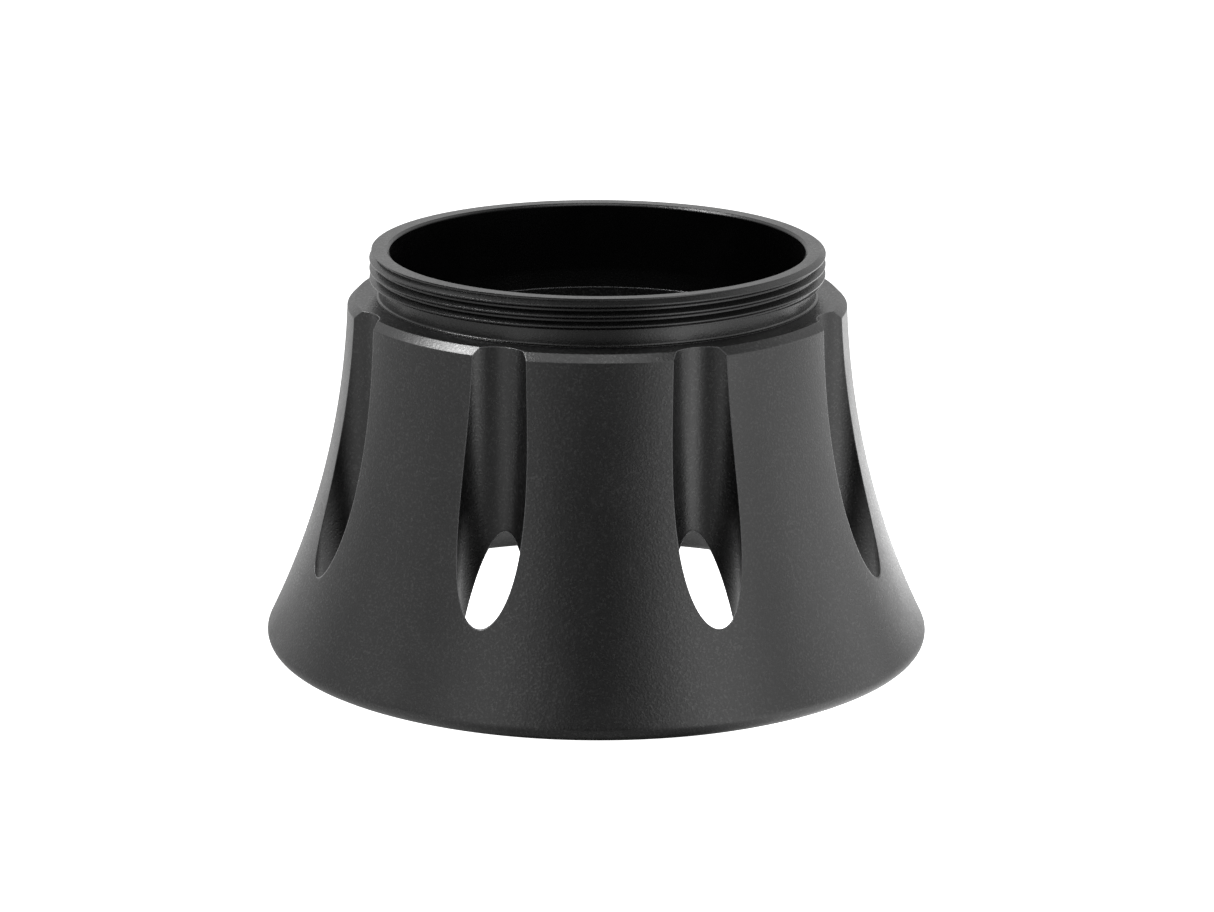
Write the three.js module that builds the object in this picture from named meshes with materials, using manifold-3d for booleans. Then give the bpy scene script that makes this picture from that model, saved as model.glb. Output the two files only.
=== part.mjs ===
// A lighting snoot: a flared skirt with milled flutes, and a threaded neck seated in its top.
// Millimetres, +Z up. The axis is Z, and Z = 0 is the underside of the lip it stands on.

import * as THREE from 'three';
import { mergeVertices } from 'three/addons/utils/BufferGeometryUtils.js';
import Module from 'manifold-3d';

const wasm = await Module();
wasm.setup();

// Skirt. Its flank is one hollow arc between the lip's rounding and the land's top corner.
const flareRadius = 50; // widest point, on the lip
const lipRadius = 1.6; // outer rounding of the lip
const innerLipRadius = 2.5; // inner rounding of the lip
const flankRadius = 126;
const landRadius = 37.2; // top corner of the flank
const landHeight = 51.7;
const wallWidth = 6.4; // measured square to the axis
const shoulderRadius = 36.1; // inner edge of the chamfer between the flank and the shoulder
const shoulderHeight = 52.8;

// Flutes, plunged straight down from the shoulder. Low down they break through into the flare.
const fluteCount = 8;
const fluteRadius = 5;
const fluteCircleRadius = 39.8;
const fluteFloor = 10; // depth the cutter reaches, above the lip

// Neck, a ring with a spigot that sits in the skirt. Its thread is M68 x 1.5, right-hand.
const neckHeight = 60; // top of the neck, above the lip
const boreRadius = 30.9;
const boreChamfer = 0.4;
const rimRadius = 33.5; // outer edge of the flat rim
const threadRadius = 33.87; // crest
const threadTop = 59.65; // foot of the chamfer round the rim
const threadFoot = 55.35;
const threadPitch = 1.5;
const threadDepth = 0.92;
const threadOpening = 1.31; // width of the groove at the crest
const threadRoot = 0.25; // width of the groove at its bottom
const grooveHeightAtFront = 58.35; // height at which the groove's middle crosses -Y
const reliefRadius = 32.5;
const footRadius = 32.75; // small step at the foot of the relief
const footTop = 53.4;
const spigotFoot = 46.6;
const seatGap = 0.3; // clearance between the neck and the skirt

// Facets
const roundSteps = 72;
const flankSteps = 12;
const lipSteps = 4;
const fluteSteps = 40;
const threadStepsPerTurn = 48;

const skirtFinish = new THREE.MeshStandardMaterial({ color: 0x1b1b1d, roughness: 0.48, metalness: 0.75 });
const neckFinish = new THREE.MeshStandardMaterial({ color: 0x161618, roughness: 0.36, metalness: 0.8 });

// ---- Shared geometry ----------------------------------------------------

// Points of an arc in the profile plane, where x is the radius and y is the height.
function arc(centre, radius, from, to, steps) {
  return Array.from({ length: steps + 1 }, (_, i) => {
    const angle = from + ((to - from) * i) / steps;
    return new THREE.Vector2(centre.x + radius * Math.cos(angle), centre.y + radius * Math.sin(angle));
  });
}

function directionTo(from, to) {
  return Math.atan2(to.y - from.y, to.x - from.x);
}

// The point at two given distances from two others, on the side further from the axis.
function meetingPoint(a, distanceA, b, distanceB) {
  const between = new THREE.Vector2().subVectors(b, a);
  const span = between.length();
  between.normalize();
  const along = (distanceA ** 2 - distanceB ** 2 + span ** 2) / (2 * span);
  const aside = Math.sqrt(distanceA ** 2 - along ** 2);
  const outward = new THREE.Vector2(between.y, -between.x);
  if (outward.x < 0) outward.negate();
  return a.clone().addScaledVector(between, along).addScaledVector(outward, aside);
}

// A turned ring from a closed profile that runs anticlockwise.
function turned(profile) {
  const geometry = new THREE.LatheGeometry([...profile, profile[0]], roundSteps);
  return geometry.rotateX(Math.PI / 2);
}

function toSolid(geometry) {
  const bare = geometry.clone();
  bare.deleteAttribute('normal');
  bare.deleteAttribute('uv');
  const merged = mergeVertices(bare, 1e-4);
  return new wasm.Manifold(
    new wasm.Mesh({
      numProp: 3,
      vertProperties: new Float32Array(merged.attributes.position.array),
      triVerts: new Uint32Array(merged.index.array),
    })
  );
}

function toGeometry(solid) {
  const mesh = solid.getMesh();
  const geometry = new THREE.BufferGeometry();
  geometry.setAttribute('position', new THREE.BufferAttribute(mesh.vertProperties, 3));
  geometry.setIndex(new THREE.BufferAttribute(mesh.triVerts, 1));
  geometry.computeVertexNormals();
  return geometry;
}

// ---- Curves shared by the skirt and the neck ----------------------------

const lipCentre = new THREE.Vector2(flareRadius - lipRadius, lipRadius);
const landCorner = new THREE.Vector2(landRadius, landHeight);
const flankCentre = meetingPoint(lipCentre, flankRadius + lipRadius, landCorner, flankRadius);
const liningCentre = new THREE.Vector2(flankCentre.x - wallWidth, flankCentre.y);

// Height at which the inner curve has a given radius, and the angle of that point on its arc.
function liningHeight(radius) {
  return liningCentre.y - Math.sqrt(flankRadius ** 2 - (liningCentre.x - radius) ** 2);
}

function liningAngle(height) {
  const rise = height - liningCentre.y;
  return Math.atan2(rise, -Math.sqrt(flankRadius ** 2 - rise ** 2));
}

// ---- Skirt --------------------------------------------------------------

function skirtProfile() {
  const flank = arc(
    flankCentre,
    flankRadius,
    directionTo(flankCentre, lipCentre),
    directionTo(flankCentre, landCorner),
    flankSteps
  );
  const outerLip = arc(lipCentre, lipRadius, -Math.PI / 2, directionTo(lipCentre, flankCentre), lipSteps);

  const innerLipDrop = liningCentre.y - innerLipRadius;
  const innerLipReach = Math.sqrt((flankRadius - innerLipRadius) ** 2 - innerLipDrop ** 2);
  const innerLipCentre = new THREE.Vector2(liningCentre.x - innerLipReach, innerLipRadius);
  const liningFoot = directionTo(liningCentre, innerLipCentre);
  const innerLip = arc(innerLipCentre, innerLipRadius, liningFoot, -Math.PI / 2, lipSteps);

  const ledge = spigotFoot - seatGap;
  const seatRadius = reliefRadius + seatGap;
  const lining = arc(liningCentre, flankRadius, liningAngle(ledge), liningFoot, flankSteps);

  return [
    ...outerLip,
    ...flank.slice(1),
    new THREE.Vector2(shoulderRadius, shoulderHeight),
    new THREE.Vector2(seatRadius, shoulderHeight),
    new THREE.Vector2(seatRadius, ledge),
    ...lining,
    ...innerLip.slice(1),
  ];
}

function flute(angle) {
  const clear = 1; // how far the cutter starts above the shoulder
  const length = shoulderHeight + clear - fluteFloor;
  const cutter = new THREE.CylinderGeometry(fluteRadius, fluteRadius, length, fluteSteps);
  cutter.rotateX(Math.PI / 2);
  cutter.translate(fluteCircleRadius, 0, fluteFloor + length / 2);
  return toSolid(cutter.rotateZ(angle));
}

function flutedSkirt() {
  const pitchAngle = (2 * Math.PI) / fluteCount;
  let solid = toSolid(turned(skirtProfile()));
  for (let i = 0; i < fluteCount; i++) {
    solid = solid.subtract(flute((i + 0.5) * pitchAngle));
  }
  return toGeometry(solid);
}

// ---- Neck ---------------------------------------------------------------

function neckProfile() {
  const footBottom = shoulderHeight + seatGap;
  const flareTop = liningHeight(boreRadius);
  const flareSteps = 2;
  return [
    new THREE.Vector2(reliefRadius, spigotFoot),
    new THREE.Vector2(reliefRadius, footBottom),
    new THREE.Vector2(footRadius, footBottom),
    new THREE.Vector2(footRadius, footTop),
    new THREE.Vector2(reliefRadius, footTop),
    new THREE.Vector2(reliefRadius, threadFoot),
    new THREE.Vector2(threadRadius, threadFoot),
    new THREE.Vector2(threadRadius, threadTop),
    new THREE.Vector2(rimRadius, neckHeight),
    new THREE.Vector2(boreRadius + boreChamfer, neckHeight),
    new THREE.Vector2(boreRadius, neckHeight - boreChamfer),
    ...arc(liningCentre, flankRadius, liningAngle(flareTop), liningAngle(spigotFoot), flareSteps),
  ];
}

// A right-hand helix whose section stays square to the axis.
class Helix extends THREE.Curve {
  constructor(radius, pitch, from, to) {
    super();
    Object.assign(this, { radius, pitch, from, to });
  }

  heightAt(t) {
    return this.from + (this.to - this.from) * t;
  }

  angleAt(t) {
    const turnsFromFront = (this.heightAt(t) - grooveHeightAtFront) / this.pitch;
    return 2 * Math.PI * (turnsFromFront - 0.25);
  }

  getPoint(t, target = new THREE.Vector3()) {
    const angle = this.angleAt(t);
    return target.set(this.radius * Math.cos(angle), this.radius * Math.sin(angle), this.heightAt(t));
  }

  computeFrenetFrames(steps) {
    const frames = { tangents: [], normals: [], binormals: [] };
    for (let i = 0; i <= steps; i++) {
      const angle = this.angleAt(i / steps);
      frames.tangents.push(new THREE.Vector3(-Math.sin(angle), Math.cos(angle), 0));
      frames.normals.push(new THREE.Vector3(Math.cos(angle), Math.sin(angle), 0));
      frames.binormals.push(new THREE.Vector3(0, 0, -1));
    }
    return frames;
  }
}

function threadGroove() {
  const clear = 0.5; // how far the cutter stands outside the crest
  const from = threadFoot - threadPitch / 2;
  const to = neckHeight + threadPitch / 2;
  const section = new THREE.Shape([
    new THREE.Vector2(-threadDepth, -threadRoot / 2),
    new THREE.Vector2(0, -threadOpening / 2),
    new THREE.Vector2(clear, -threadOpening / 2),
    new THREE.Vector2(clear, threadOpening / 2),
    new THREE.Vector2(0, threadOpening / 2),
    new THREE.Vector2(-threadDepth, threadRoot / 2),
  ]);
  const steps = Math.round(((to - from) / threadPitch) * threadStepsPerTurn);
  const extrudePath = new Helix(threadRadius, threadPitch, from, to);
  return toSolid(new THREE.ExtrudeGeometry(section, { steps, extrudePath, bevelEnabled: false }));
}

function threadedNeck() {
  return toGeometry(toSolid(turned(neckProfile())).subtract(threadGroove()));
}

// ---- Assembly -----------------------------------------------------------

function part(name, geometry, material) {
  const mesh = new THREE.Mesh(geometry, material);
  mesh.name = name;
  return mesh;
}

const snoot = new THREE.Group();
snoot.add(part('fluted_skirt', flutedSkirt(), skirtFinish));
snoot.add(part('threaded_neck', threadedNeck(), neckFinish));

export default snoot;
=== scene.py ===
import bmesh
import bpy
import math
from mathutils import Matrix, Vector


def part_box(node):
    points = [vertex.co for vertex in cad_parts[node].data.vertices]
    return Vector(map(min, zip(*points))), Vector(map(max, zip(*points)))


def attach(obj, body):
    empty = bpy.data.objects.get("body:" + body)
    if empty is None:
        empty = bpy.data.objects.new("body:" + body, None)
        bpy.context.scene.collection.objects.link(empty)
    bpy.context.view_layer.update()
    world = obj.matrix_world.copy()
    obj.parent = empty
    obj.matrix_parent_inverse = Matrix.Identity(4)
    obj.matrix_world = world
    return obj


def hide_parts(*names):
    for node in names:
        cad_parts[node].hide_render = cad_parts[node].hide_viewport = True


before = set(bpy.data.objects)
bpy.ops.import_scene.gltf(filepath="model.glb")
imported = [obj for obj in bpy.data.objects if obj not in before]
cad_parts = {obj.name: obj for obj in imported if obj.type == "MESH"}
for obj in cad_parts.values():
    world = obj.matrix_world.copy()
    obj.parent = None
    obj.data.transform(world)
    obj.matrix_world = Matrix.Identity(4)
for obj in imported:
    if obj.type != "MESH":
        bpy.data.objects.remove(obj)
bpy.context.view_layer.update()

# Black anodised snoot: a fluted, flared skirt with a threaded neck seated in its top.
# Shapes are in millimetres here, and every mesh is made in metres round the frame's Z axis.

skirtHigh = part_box("fluted_skirt")[1]
neckLow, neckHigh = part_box("threaded_neck")
mm = 0.001
print("frame loaded:", sorted(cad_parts))


# Helpers that turn, cut and round a shape

def arcPoints(centre, radius, start, end, steps):
    turn = (end - start) / steps
    return [(centre[0] + radius * math.cos(start + i * turn),
             centre[1] + radius * math.sin(start + i * turn)) for i in range(steps + 1)]


def headingTo(start, end):
    return math.atan2(end[1] - start[1], end[0] - start[0])


def turnProfile(bm, profile, steps):  # a closed outline of (radius, height) turned round Z
    ring = [bm.verts.new((r * mm, 0, z * mm)) for r, z in profile]
    edges = [bm.edges.new(pair) for pair in zip(ring, ring[1:] + ring[:1])]
    bmesh.ops.spin(bm, geom=ring + edges, cent=(0, 0, 0), axis=(0, 0, 1),
                   angle=math.tau, steps=steps, use_merge=True)
    hair = 0.0001 * mm
    bmesh.ops.remove_doubles(bm, verts=bm.verts[:], dist=hair)
    bmesh.ops.recalc_face_normals(bm, faces=bm.faces[:])


def addPiece(name, bm):
    mesh = bpy.data.meshes.new(name)
    bm.to_mesh(mesh)
    bm.free()
    piece = bpy.data.objects.new(name, mesh)
    bpy.context.scene.collection.objects.link(piece)
    return piece


def cutAway(piece, cutter):
    cut = piece.modifiers.new("cut", "BOOLEAN")
    cut.operation = "DIFFERENCE"
    cut.solver = "EXACT"
    cut.object = cutter
    depsgraph = bpy.context.evaluated_depsgraph_get()
    mesh = bpy.data.meshes.new_from_object(piece.evaluated_get(depsgraph))
    piece.modifiers.clear()
    piece.data = mesh
    bpy.data.objects.remove(cutter)


cleaning = {"weld": 0.004, "sliver": 0.001, "creaseAngle": 28, "faceWeight": 60}


def tidyEdges(piece):  # a Boolean leaves points a hair apart, which would shade badly
    bm = bmesh.new()
    bm.from_mesh(piece.data)
    bmesh.ops.remove_doubles(bm, verts=bm.verts[:], dist=cleaning["weld"] * mm)
    bmesh.ops.dissolve_degenerate(bm, dist=cleaning["sliver"] * mm, edges=bm.edges[:])
    bm.to_mesh(piece.data)
    bm.free()


def roundCorner(before, corner, after, radius, steps=3):  # a small turned radius in place of a corner
    before, corner, after = Vector(before), Vector(corner), Vector(after)
    back, ahead = (before - corner).normalized(), (after - corner).normalized()
    half = back.angle(ahead) / 2
    reach = radius / math.tan(half)
    centre = corner + (back + ahead).normalized() * radius / math.sin(half)
    first, last = corner + back * reach - centre, corner + ahead * reach - centre
    turn = first.angle_signed(last)
    return [tuple(centre + Matrix.Rotation(-turn * i / steps, 2) @ first) for i in range(steps + 1)]


def roundOutline(outline, radius, corners):  # corners are indices into the outline
    rounded = []
    for i, point in enumerate(outline):
        if i in corners:
            rounded += roundCorner(outline[i - 1], point, outline[(i + 1) % len(outline)], radius)
        else:
            rounded.append(tuple(point))
    return rounded


def smoothShade(piece):
    piece.data.shade_smooth()
    piece.data.set_sharp_from_angle(angle=math.radians(cleaning["creaseAngle"]))
    even = piece.modifiers.new("even shading", "WEIGHTED_NORMAL")
    even.weight = cleaning["faceWeight"]
    even.keep_sharp = True


# The fluted skirt, turned and then milled

skirtShape = {
    "lipRadius": 1.6, "innerLipRadius": 2.5, "flankArc": 126.0, "wall": 6.4,
    "landRadius": 37.2, "landHeight": 51.7, "shoulderRadius": 36.1,
    "seatRadius": 32.56, "seatHeight": 46.55,
    "fluteCount": 8, "fluteRadius": 5.0, "fluteCircle": 39.8, "fluteFloor": 10.0,
    "cornerRadius": 0.16, "turnSteps": 240, "flankSteps": 48, "lipSteps": 10, "fluteSteps": 96,
}


def flankCurve(shape, flareRadius):  # centre of the hollow arc, tangent to the lip's rounding
    lip = Vector((flareRadius - shape["lipRadius"], shape["lipRadius"]))
    land = Vector((shape["landRadius"], shape["landHeight"]))
    fromLip, fromLand = shape["flankArc"] + shape["lipRadius"], shape["flankArc"]
    between = land - lip
    along = (fromLip ** 2 - fromLand ** 2 + between.length ** 2) / (2 * between.length)
    aside = math.sqrt(fromLip ** 2 - along ** 2)
    direction = between.normalized()
    return lip + direction * along + Vector((direction.y, -direction.x)) * aside, lip, land


def liningAngle(shape, centre, height):
    rise = height - centre.y
    return math.atan2(rise, -math.sqrt(shape["flankArc"] ** 2 - rise ** 2))


def skirtProfile(shape, flareRadius, shoulderHeight):
    centre, lip, land = flankCurve(shape, flareRadius)
    inner = Vector((centre.x - shape["wall"], centre.y))
    drop = inner.y - shape["innerLipRadius"]
    reach = math.sqrt((shape["flankArc"] - shape["innerLipRadius"]) ** 2 - drop ** 2)
    innerLip = Vector((inner.x - reach, shape["innerLipRadius"]))
    foot = headingTo(inner, innerLip)
    flank = arcPoints(centre, shape["flankArc"], headingTo(centre, lip), headingTo(centre, land),
                      shape["flankSteps"])
    ledge = liningAngle(shape, inner, shape["seatHeight"])
    lining = arcPoints(inner, shape["flankArc"], ledge, foot, shape["flankSteps"])
    under = -math.pi / 2
    outline = arcPoints(lip, shape["lipRadius"], under, headingTo(lip, centre), shape["lipSteps"])
    outline += flank[1:]
    outline += [(shape["shoulderRadius"], shoulderHeight), (shape["seatRadius"], shoulderHeight),
                (shape["seatRadius"], shape["seatHeight"])]
    outline += lining
    outline += arcPoints(innerLip, shape["innerLipRadius"], foot, under, shape["lipSteps"])[1:]
    landCorner = shape["lipSteps"] + shape["flankSteps"]
    return roundOutline(outline, shape["cornerRadius"], (landCorner, landCorner + 1))


def makeFluteCutters(shape, shoulderHeight):
    bm = bmesh.new()
    clear = 1.0  # how far the cutters stand above the shoulder
    length = shoulderHeight + clear - shape["fluteFloor"]
    middle = shape["fluteFloor"] + length / 2
    place = Matrix.Translation((shape["fluteCircle"] * mm, 0, middle * mm))
    for i in range(shape["fluteCount"]):
        turn = Matrix.Rotation(math.tau * (i + 0.5) / shape["fluteCount"], 4, "Z")
        bmesh.ops.create_cone(bm, cap_ends=True, segments=shape["fluteSteps"], depth=length * mm,
                              radius1=shape["fluteRadius"] * mm, radius2=shape["fluteRadius"] * mm,
                              matrix=turn @ place)
    return addPiece("flute cutters", bm)


def makeSkirt(shape):
    flareRadius = skirtHigh.x / mm
    shoulderHeight = skirtHigh.z / mm
    bm = bmesh.new()
    turnProfile(bm, skirtProfile(shape, flareRadius, shoulderHeight), shape["turnSteps"])
    skirt = addPiece("skirt", bm)
    cutAway(skirt, makeFluteCutters(shape, shoulderHeight))
    tidyEdges(skirt)
    smoothShade(skirt)
    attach(skirt, "root")
    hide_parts("fluted_skirt")
    return skirt


skirt = makeSkirt(skirtShape)
print("skirt:", len(skirt.data.polygons), "faces")


# The threaded neck

neckShape = {
    "boreRadius": 30.9, "boreChamfer": 0.4, "rimRadius": 33.5, "leadInHeight": 59.65,
    "threadFoot": 55.35, "pitch": 1.5, "depth": 0.92, "opening": 1.31, "root": 0.25,
    "grooveAtFront": 58.35, "reliefRadius": 32.5, "filletRadius": 0.35, "footGap": 0.02, "footEdge": 0.1,
    "cornerRadius": 0.07, "turnSteps": 240, "filletSteps": 6, "liningSteps": 4,
}


def neckProfile(shape, skirtCurve):
    top = neckHigh.z / mm
    bottom = neckLow.z / mm
    crest = neckHigh.x / mm
    shoulder = skirtHigh.z / mm + shape["footGap"]
    filletCentre = (shape["reliefRadius"] + shape["filletRadius"],
                    shoulder + shape["footEdge"] + shape["filletRadius"])
    outline = [(shape["reliefRadius"], bottom), (shape["reliefRadius"], shoulder),
               (filletCentre[0], shoulder)]
    outline += arcPoints(filletCentre, shape["filletRadius"], 1.5 * math.pi, math.pi,
                         shape["filletSteps"])
    outline += [(shape["reliefRadius"], shape["threadFoot"]), (crest, shape["threadFoot"]),
                (crest, shape["leadInHeight"]), (shape["rimRadius"], top),
                (shape["boreRadius"] + shape["boreChamfer"], top),
                (shape["boreRadius"], top - shape["boreChamfer"])]
    centre = flankCurve(skirtCurve, skirtHigh.x / mm)[0]
    inner = Vector((centre.x - skirtCurve["wall"], centre.y))
    radius = skirtCurve["flankArc"]
    flareTop = inner.y - math.sqrt(radius ** 2 - (inner.x - shape["boreRadius"]) ** 2)
    outline += arcPoints(inner, radius, liningAngle(skirtCurve, inner, flareTop),
                         liningAngle(skirtCurve, inner, bottom), shape["liningSteps"])
    crestFoot = outline.index((crest, shape["threadFoot"]))
    boreTop = outline.index((shape["boreRadius"], top - shape["boreChamfer"]))
    return roundOutline(outline, shape["cornerRadius"], range(crestFoot, boreTop + 1))


def makeThreadCutter(shape):  # a V section screwed up the neck, right-handed
    crest = neckHigh.x / mm
    clear = 0.5  # how far the cutter stands outside the crest
    turns = 4.4  # from below the thread's foot to above the rim
    turnsToFront = 2.75  # the cutter starts at +X and meets -Y on its third time round
    start = shape["grooveAtFront"] - turnsToFront * shape["pitch"]
    halfRoot, halfOpening = shape["root"] / 2, shape["opening"] / 2
    section = [(-shape["depth"], -halfRoot), (0, -halfOpening), (clear, -halfOpening),
               (clear, halfOpening), (0, halfOpening), (-shape["depth"], halfRoot)]
    steps = round(turns * shape["turnSteps"])
    bm = bmesh.new()
    corners = [bm.verts.new(((crest + x) * mm, 0, (start + y) * mm)) for x, y in section]
    face = bm.faces.new(corners)
    geom = [face] + list(face.edges) + corners
    bmesh.ops.spin(bm, geom=geom, cent=(0, 0, 0), axis=(0, 0, 1), angle=turns * math.tau,
                   dvec=(0, 0, turns * shape["pitch"] * mm / steps), steps=steps)
    bmesh.ops.recalc_face_normals(bm, faces=bm.faces[:])
    return addPiece("thread cutter", bm)


def makeNeck(shape):
    bm = bmesh.new()
    turnProfile(bm, neckProfile(shape, skirtShape), shape["turnSteps"])
    neck = addPiece("neck", bm)
    cutAway(neck, makeThreadCutter(shape))
    tidyEdges(neck)
    smoothShade(neck)
    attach(neck, "root")
    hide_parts("threaded_neck")
    return neck


neck = makeNeck(neckShape)
print("neck:", len(neck.data.polygons), "faces")


# Effects that both finishes share

def shaderGroup(name, inputs, outputs):
    tree = bpy.data.node_groups.new(name, "ShaderNodeTree")
    for label, kind, value in inputs:
        socket = tree.interface.new_socket(label, in_out="INPUT", socket_type=kind)
        if value is not None:
            socket.default_value = value
    for label, kind in outputs:
        tree.interface.new_socket(label, in_out="OUTPUT", socket_type=kind)
    return tree, tree.nodes.new("NodeGroupInput"), tree.nodes.new("NodeGroupOutput")


def mathNode(tree, operation, first, second=None, clamp=False):
    node = tree.nodes.new("ShaderNodeMath")
    node.operation = operation
    node.use_clamp = clamp
    for socket, value in zip(node.inputs, (first, second)):
        if isinstance(value, (int, float)):
            socket.default_value = value
        elif value is not None:
            tree.links.new(value, socket)
    return node.outputs[0]


def rangeNode(tree, value, fromLow, fromHigh, toLow, toHigh):
    node = tree.nodes.new("ShaderNodeMapRange")
    node.interpolation_type = "SMOOTHSTEP"
    tree.links.new(value, node.inputs["Value"])
    ends = {"From Min": fromLow, "From Max": fromHigh, "To Min": toLow, "To Max": toHigh}
    for label, number in ends.items():
        if isinstance(number, (int, float)):
            node.inputs[label].default_value = number
        else:
            tree.links.new(number, node.inputs[label])
    return node.outputs["Result"]


def noiseNode(tree, place, scale, detail, roughness):
    node = tree.nodes.new("ShaderNodeTexNoise")
    node.inputs["Detail"].default_value = detail
    node.inputs["Roughness"].default_value = roughness
    tree.links.new(place, node.inputs["Vector"])
    tree.links.new(scale, node.inputs["Scale"])
    return node.outputs["Fac"]


def perMetre(tree, size):  # a noise scale from a size in millimetres
    return mathNode(tree, "DIVIDE", 1 / mm, size)


def fromAxis(tree, place):  # distance from the Z axis
    across = mathNode(tree, "POWER", place.outputs["X"], 2.0)
    along = mathNode(tree, "POWER", place.outputs["Y"], 2.0)
    return mathNode(tree, "SQRT", mathNode(tree, "ADD", across, along))


def blastedGrainGroup():  # the fine pits that bead blasting leaves
    tree, given, result = shaderGroup("blasted grain",
        [("Place", "NodeSocketVector", None), ("Grain mm", "NodeSocketFloat", 0.2)],
        [("Height", "NodeSocketFloat"), ("Speckle", "NodeSocketFloat")])
    scale = perMetre(tree, given.outputs["Grain mm"])
    pits = noiseNode(tree, given.outputs["Place"], scale, detail=1.0, roughness=0.6)
    coarseScale = mathNode(tree, "MULTIPLY", scale, 0.31)
    coarse = noiseNode(tree, given.outputs["Place"], coarseScale, detail=1.0, roughness=0.5)
    height = mathNode(tree, "ADD", pits, mathNode(tree, "MULTIPLY", coarse, 0.5))
    tree.links.new(height, result.inputs["Height"])
    tree.links.new(rangeNode(tree, pits, 0.48, 0.72, 0.0, 1.0), result.inputs["Speckle"])
    return tree


def turningMarksGroup():  # rings that a lathe tool leaves round the Z axis
    tree, given, result = shaderGroup("turning marks",
        [("Place", "NodeSocketVector", None), ("Feed mm", "NodeSocketFloat", 0.12)],
        [("Height", "NodeSocketFloat")])
    apart = tree.nodes.new("ShaderNodeSeparateXYZ")
    tree.links.new(given.outputs["Place"], apart.inputs[0])
    together = tree.nodes.new("ShaderNodeCombineXYZ")
    tree.links.new(fromAxis(tree, apart), together.inputs["X"])
    tree.links.new(apart.outputs["Z"], together.inputs["Z"])
    scale = perMetre(tree, given.outputs["Feed mm"])
    rings = noiseNode(tree, together.outputs[0], scale, detail=2.0, roughness=0.5)
    tree.links.new(rings, result.inputs["Height"])
    return tree


def boreShadeGroup():  # picks out the inside of the bore, near the Z axis and below a height, where it is made darker
    tree, given, result = shaderGroup("bore shade",
        [("Place", "NodeSocketVector", None), ("Radius mm", "NodeSocketFloat", 31.0),
         ("Top mm", "NodeSocketFloat", 60.0)],
        [("Mask", "NodeSocketFloat")])
    apart = tree.nodes.new("ShaderNodeSeparateXYZ")
    tree.links.new(given.outputs["Place"], apart.inputs[0])
    radius = mathNode(tree, "MULTIPLY", given.outputs["Radius mm"], mm)
    top = mathNode(tree, "MULTIPLY", given.outputs["Top mm"], mm)
    within = mathNode(tree, "LESS_THAN", fromAxis(tree, apart), radius)
    below = mathNode(tree, "LESS_THAN", apart.outputs["Z"], top)
    tree.links.new(mathNode(tree, "MULTIPLY", within, below), result.inputs["Mask"])
    return tree


def handlingGroup():  # broad, soft patches where the finish has been rubbed or holds a little dust
    tree, given, result = shaderGroup("handling",
        [("Place", "NodeSocketVector", None), ("Patch mm", "NodeSocketFloat", 14.0),
         ("Cover", "NodeSocketFloat", 0.5)],
        [("Mask", "NodeSocketFloat")])
    scale = perMetre(tree, given.outputs["Patch mm"])
    cloud = noiseNode(tree, given.outputs["Place"], scale, detail=5.0, roughness=0.62)
    low = mathNode(tree, "SUBTRACT", 0.85, given.outputs["Cover"])
    high = mathNode(tree, "ADD", low, 0.3)
    tree.links.new(rangeNode(tree, cloud, low, high, 0.0, 1.0), result.inputs["Mask"])
    return tree


def edgeHighlightGroup():  # painted highlight along corners, and the rounded normal there
    tree, given, result = shaderGroup("painted edge highlight",
        [("Width mm", "NodeSocketFloat", 0.2), ("Gain", "NodeSocketFloat", 3.0)],
        [("Mask", "NodeSocketFloat"), ("Normal", "NodeSocketVector")])
    bent = tree.nodes.new("ShaderNodeBevel")
    bent.samples = 6
    width = mathNode(tree, "MULTIPLY", given.outputs["Width mm"], mm)
    tree.links.new(width, bent.inputs["Radius"])
    true = tree.nodes.new("ShaderNodeNewGeometry")
    match = tree.nodes.new("ShaderNodeVectorMath")
    match.operation = "DOT_PRODUCT"
    tree.links.new(bent.outputs["Normal"], match.inputs[0])
    tree.links.new(true.outputs["Normal"], match.inputs[1])
    bend = mathNode(tree, "SUBTRACT", 1.0, match.outputs["Value"])
    # painted highlight: strongest where the rounded normal bends away from the true one
    highlight = mathNode(tree, "MULTIPLY", bend, given.outputs["Gain"], clamp=True)
    tree.links.new(highlight, result.inputs["Mask"])
    tree.links.new(bent.outputs["Normal"], result.inputs["Normal"])
    return tree


blastedGrain = blastedGrainGroup()
turningMarks = turningMarksGroup()
boreShade = boreShadeGroup()
handling = handlingGroup()
edgeHighlight = edgeHighlightGroup()
print("shader effects: 5 groups")


# The two finishes

def useGroup(tree, group, place=None, **values):
    node = tree.nodes.new("ShaderNodeGroup")
    node.node_tree = group
    if place is not None:
        tree.links.new(place, node.inputs["Place"])
    for label, value in values.items():
        node.inputs[label.replace("_", " ")].default_value = value
    return node


def mixColour(tree, factor, first, second):
    node = tree.nodes.new("ShaderNodeMix")
    node.data_type = "RGBA"
    tree.links.new(factor, node.inputs["Factor"])
    for label, value in (("A", first), ("B", second)):
        socket = next(s for s in node.inputs if s.name == label and s.type == "RGBA")
        if isinstance(value, tuple):
            socket.default_value = (*value, 1)
        else:
            tree.links.new(value, socket)
    return next(s for s in node.outputs if s.type == "RGBA")


def bumpNode(tree, height, strength, distance, normal=None):
    node = tree.nodes.new("ShaderNodeBump")
    node.inputs["Strength"].default_value = strength
    node.inputs["Distance"].default_value = distance * mm
    tree.links.new(height, node.inputs["Height"])
    if normal is not None:
        tree.links.new(normal, node.inputs["Normal"])
    return node.outputs["Normal"]


# The corner colour in each finish is a painted highlight along the edges.
blastedFinish = {
    "colour": (0.001, 0.001, 0.0011), "dust": (0.022, 0.022, 0.022), "edgeHighlightColour": (0.17, 0.17, 0.175),
    "roughness": 0.34, "specular": 0.52, "cornerWidth": 0.22, "shadeRadius": 34.5, "shadeTop": 52.5,
    "grain": 0.34, "grainDepth": 0.055, "grainStrength": 0.5,
}

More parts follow.
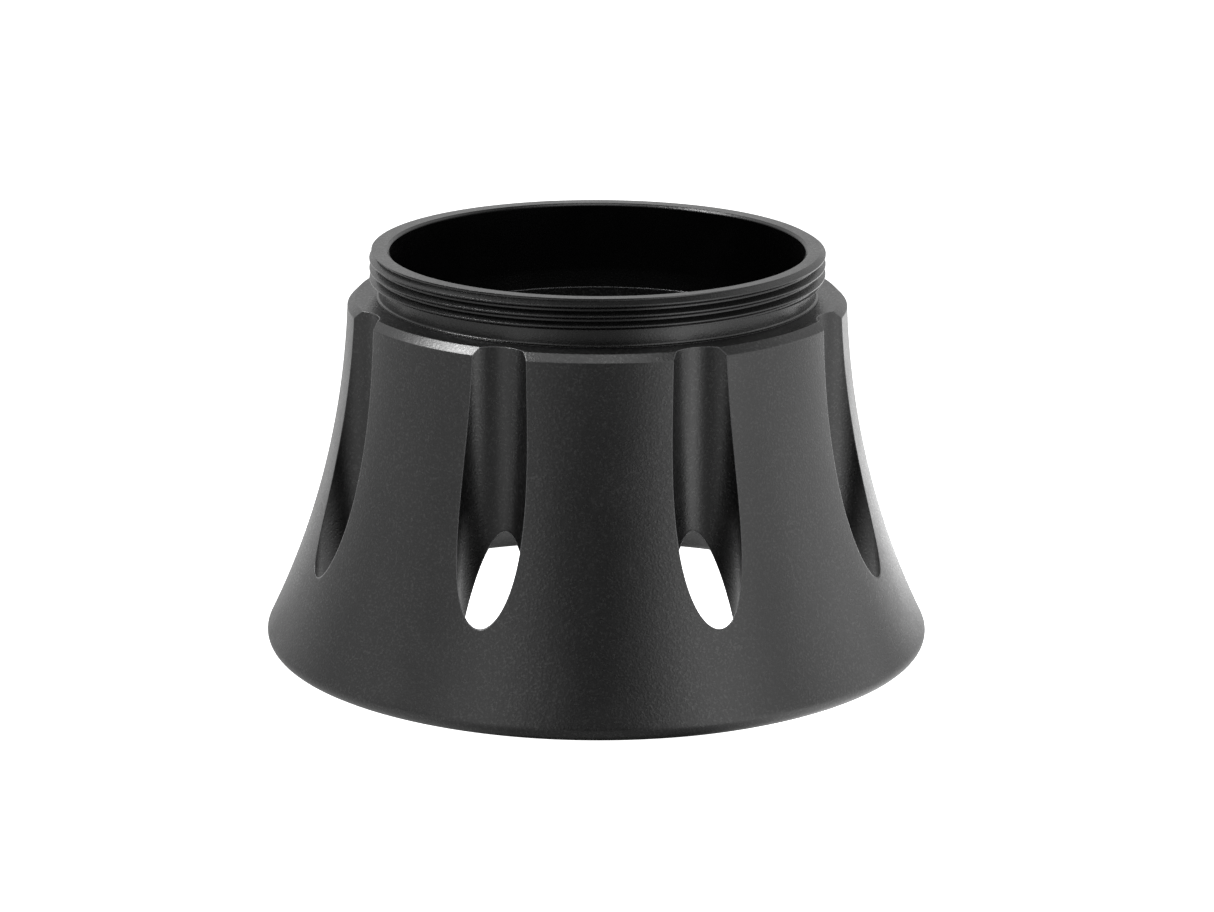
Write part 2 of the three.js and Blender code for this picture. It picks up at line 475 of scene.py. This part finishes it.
turnedFinish = {
    "colour": (0.0006, 0.0006, 0.0007), "dust": (0.006, 0.006, 0.006), "edgeHighlightColour": (0.05, 0.05, 0.052),
    "roughness": 0.3, "specular": 0.48, "cornerWidth": 0.06, "shadeRadius": 32.3, "shadeTop": 59.7,
    "feed": 0.16, "markDepth": 0.006, "markStrength": 0.5,
    "grain": 0.36, "grainDepth": 0.04, "grainStrength": 0.55,
}

# Dust and handling patches are real wear; the corner gain is for the painted edge highlight.
wearAndPaintedHighlight = {  # shared by both finishes
    "patch": 11.0, "cover": 0.42, "highlightGain": 2.2, "leastDust": 0.6, "patchDust": 0.3,
    "speckleGloss": -0.08, "patchDulling": 0.05, "boreBlack": 0.85,
}


def anodise(name, finish):
    material = bpy.data.materials.new(name)
    material.use_nodes = True
    tree = material.node_tree
    shader = tree.nodes["Principled BSDF"]
    place = tree.nodes.new("ShaderNodeTexCoord").outputs["Object"]
    grain = useGroup(tree, blastedGrain, place, Grain_mm=finish["grain"])
    patches = useGroup(tree, handling, place, Patch_mm=wearAndPaintedHighlight["patch"], Cover=wearAndPaintedHighlight["cover"])
    # painted highlight along the corners, with their rounded normal
    corners = useGroup(tree, edgeHighlight, Width_mm=finish["cornerWidth"], Gain=wearAndPaintedHighlight["highlightGain"])
    patchDust = mathNode(tree, "MULTIPLY", patches.outputs["Mask"], wearAndPaintedHighlight["patchDust"])
    cover = mathNode(tree, "ADD", patchDust, wearAndPaintedHighlight["leastDust"])
    dusted = mixColour(tree, mathNode(tree, "MULTIPLY", cover, grain.outputs["Speckle"]),
                       finish["colour"], finish["dust"])
    # The corners are lightened in the base colour: a painted highlight.
    tree.links.new(mixColour(tree, corners.outputs["Mask"], dusted, finish["edgeHighlightColour"]),
                   shader.inputs["Base Color"])
    pitted = mathNode(tree, "MULTIPLY", grain.outputs["Speckle"], wearAndPaintedHighlight["speckleGloss"])
    handled = mathNode(tree, "MULTIPLY", patches.outputs["Mask"], wearAndPaintedHighlight["patchDulling"])
    change = mathNode(tree, "ADD", pitted, handled)
    tree.links.new(mathNode(tree, "ADD", change, finish["roughness"]), shader.inputs["Roughness"])
    shader.inputs["Specular IOR Level"].default_value = finish["specular"]
    normal = bumpNode(tree, grain.outputs["Height"], finish["grainStrength"], finish["grainDepth"],
                      corners.outputs["Normal"])
    if "feed" in finish:
        marks = useGroup(tree, turningMarks, place, Feed_mm=finish["feed"])
        normal = bumpNode(tree, marks.outputs["Height"], finish["markStrength"], finish["markDepth"],
                          normal)
    tree.links.new(normal, shader.inputs["Normal"])
    bore = useGroup(tree, boreShade, place, Radius_mm=finish["shadeRadius"], Top_mm=finish["shadeTop"])
    # A near-black metal hardly reflects, so the inside of the bore comes out darker.
    boreDarkening = mathNode(tree, "MULTIPLY", bore.outputs["Mask"], wearAndPaintedHighlight["boreBlack"])
    tree.links.new(boreDarkening, shader.inputs["Metallic"])
    return material


skirt.data.materials.clear()
skirt.data.materials.append(anodise("blasted black anodise", blastedFinish))
neck.data.materials.clear()
neck.data.materials.append(anodise("turned black anodise", turnedFinish))
print("finishes: 2 materials")


# The studio

camera = {
    "out": 557.46, "up": 186.10, "turn": -0.61,
    "pitch": -15.858, "aim": 0.156, "roll": 0.207, "lens": 113.99,
}


def makeCamera(setup):
    data = bpy.data.cameras.new("camera")
    data.lens = setup["lens"]
    data.sensor_width = 36
    data.clip_start = 0.01
    data.clip_end = 50
    body = bpy.data.objects.new("camera", data)
    bpy.context.scene.collection.objects.link(body)
    turn = Matrix.Rotation(math.radians(setup["turn"]), 4, "Z")
    place = Matrix.Translation((0, -setup["out"] * mm, setup["up"] * mm))
    aim = Matrix.Rotation(math.radians(-setup["aim"]), 4, "Z")
    pitch = Matrix.Rotation(math.radians(90 + setup["pitch"]), 4, "X")
    roll = Matrix.Rotation(math.radians(setup["roll"]), 4, "Z")
    body.matrix_world = turn @ place @ aim @ pitch @ roll
    bpy.context.scene.camera = body


def softbox(name, direction, distance, size, brightness):
    data = bpy.data.lights.new(name, "AREA")
    data.shape = "RECTANGLE"
    data.size, data.size_y = size
    data.energy = brightness * math.pi * size[0] * size[1]  # brightness is the panel's radiance
    lamp = bpy.data.objects.new(name, data)
    bpy.context.scene.collection.objects.link(lamp)
    away = Vector(direction).normalized()
    lamp.location = away * distance
    lamp.rotation_euler = away.to_track_quat("Z", "Y").to_euler()


softboxes = {
    "overhead left": {
        "direction": (-0.6, -0.03, 0.8), "distance": 0.8, "size": (0.28, 0.28), "brightness": 26.0},
    "overhead": {
        "direction": (0.05, -0.3, 0.95), "distance": 0.9, "size": (0.5, 0.4), "brightness": 2.6},
    "right": {
        "direction": (0.95, 0.05, 0.22), "distance": 0.8, "size": (0.5, 0.4), "brightness": 1.2},
    "left": {
        "direction": (-0.97, -0.1, 0.2), "distance": 0.8, "size": (0.4, 0.35), "brightness": 0.5},
}

surround = {
    "behind": 0.85, "front": 0.07, "dimmest": 0.03, "left": 1.6, "right": 2.6, "abeam": 0.24,
    "overhead": 0.1, "behindFrom": 0.1, "behindTo": 0.6, "overheadFrom": 0.7, "overheadTo": 0.93,
}

floorGlow = {
    "colour": 0.3, "roughness": 0.9, "halfWidth": 3, "drop": 0.02,
    "front": 0.02, "dimmest": 0.03, "left": 0.64, "right": 2.1, "abeam": 0.42,
    "inside": 1.5, "insideTo": 0.04, "outsideFrom": 0.046, "seen": 1.2,
}

headings = {  # as the sine of the angle away from the front
    "leftToRight": 0.2, "sideFrom": 0.2, "sideTo": 0.66, "abeamFrom": 0.65, "abeamTo": 1.0,
}


def aroundObject(tree, place, levels):  # brightness by heading: dim in front, brighter to each side
    least = 0.001  # keeps the division safe on the axis
    away = mathNode(tree, "MAXIMUM", fromAxis(tree, place), least)
    heading = mathNode(tree, "DIVIDE", place.outputs["X"], away)
    turned = mathNode(tree, "ABSOLUTE", mathNode(tree, "SUBTRACT", heading, levels["dimmest"]))
    width = headings["leftToRight"]
    side = rangeNode(tree, heading, -width, width, levels["left"], levels["right"])
    fade = rangeNode(tree, turned, headings["abeamFrom"], headings["abeamTo"], 1.0, levels["abeam"])
    fading = mathNode(tree, "MULTIPLY", side, fade)
    return rangeNode(tree, turned, headings["sideFrom"], headings["sideTo"], levels["front"], fading)


def makeWorld(levels):  # white to the camera, and a bright backdrop with a dim front to the object
    world = bpy.data.worlds.new("studio")
    world.use_nodes = True
    tree = world.node_tree
    direction = tree.nodes.new("ShaderNodeSeparateXYZ")
    tree.links.new(tree.nodes.new("ShaderNodeTexCoord").outputs["Generated"], direction.inputs[0])
    around = aroundObject(tree, direction, levels)
    back = rangeNode(tree, direction.outputs["Y"], levels["behindFrom"], levels["behindTo"],
                     around, levels["behind"])
    light = rangeNode(tree, direction.outputs["Z"], levels["overheadFrom"], levels["overheadTo"],
                      back, levels["overhead"])
    seen = tree.nodes.new("ShaderNodeLightPath").outputs["Is Camera Ray"]
    rest = mathNode(tree, "MULTIPLY", light, mathNode(tree, "SUBTRACT", 1.0, seen))
    tree.links.new(mathNode(tree, "ADD", rest, seen), tree.nodes["Background"].inputs["Strength"])
    tree.nodes["Background"].inputs["Color"].default_value = (1, 1, 1, 1)
    bpy.context.scene.world = world


def makeFloor(levels):  # white to the camera, with the same sides as the backdrop in what it reflects
    bm = bmesh.new()
    bmesh.ops.create_grid(bm, x_segments=1, y_segments=1, size=levels["halfWidth"])
    clear = (0, 0, -levels["drop"] * mm)  # just under the lip's flat underside
    bmesh.ops.translate(bm, verts=bm.verts[:], vec=clear)
    floor = addPiece("floor", bm)
    material = bpy.data.materials.new("pale floor")
    material.use_nodes = True
    tree = material.node_tree
    shader = tree.nodes["Principled BSDF"]
    shader.inputs["Base Color"].default_value = (*[levels["colour"]] * 3, 1)
    shader.inputs["Roughness"].default_value = levels["roughness"]
    shader.inputs["Specular IOR Level"].default_value = 0
    shader.inputs["Emission Color"].default_value = (1, 1, 1, 1)
    spot = tree.nodes.new("ShaderNodeTexCoord").outputs["Object"]
    place = tree.nodes.new("ShaderNodeSeparateXYZ")
    tree.links.new(spot, place.inputs[0])
    reach = tree.nodes.new("ShaderNodeVectorMath")
    reach.operation = "LENGTH"
    tree.links.new(spot, reach.inputs[0])
    glow = rangeNode(tree, reach.outputs["Value"], levels["insideTo"], levels["outsideFrom"],
                     levels["inside"], aroundObject(tree, place, levels))
    cameraRay = tree.nodes.new("ShaderNodeLightPath").outputs["Is Camera Ray"]
    seen = mathNode(tree, "MULTIPLY", cameraRay, levels["seen"])
    tree.links.new(mathNode(tree, "ADD", glow, seen), shader.inputs["Emission Strength"])
    floor.data.materials.append(material)


makeCamera(camera)
for name, box in softboxes.items():
    softbox(name, **box)
makeWorld(surround)
makeFloor(floorGlow)
bpy.context.scene.view_settings.view_transform = "Standard"
print("studio:", len(softboxes), "softboxes")
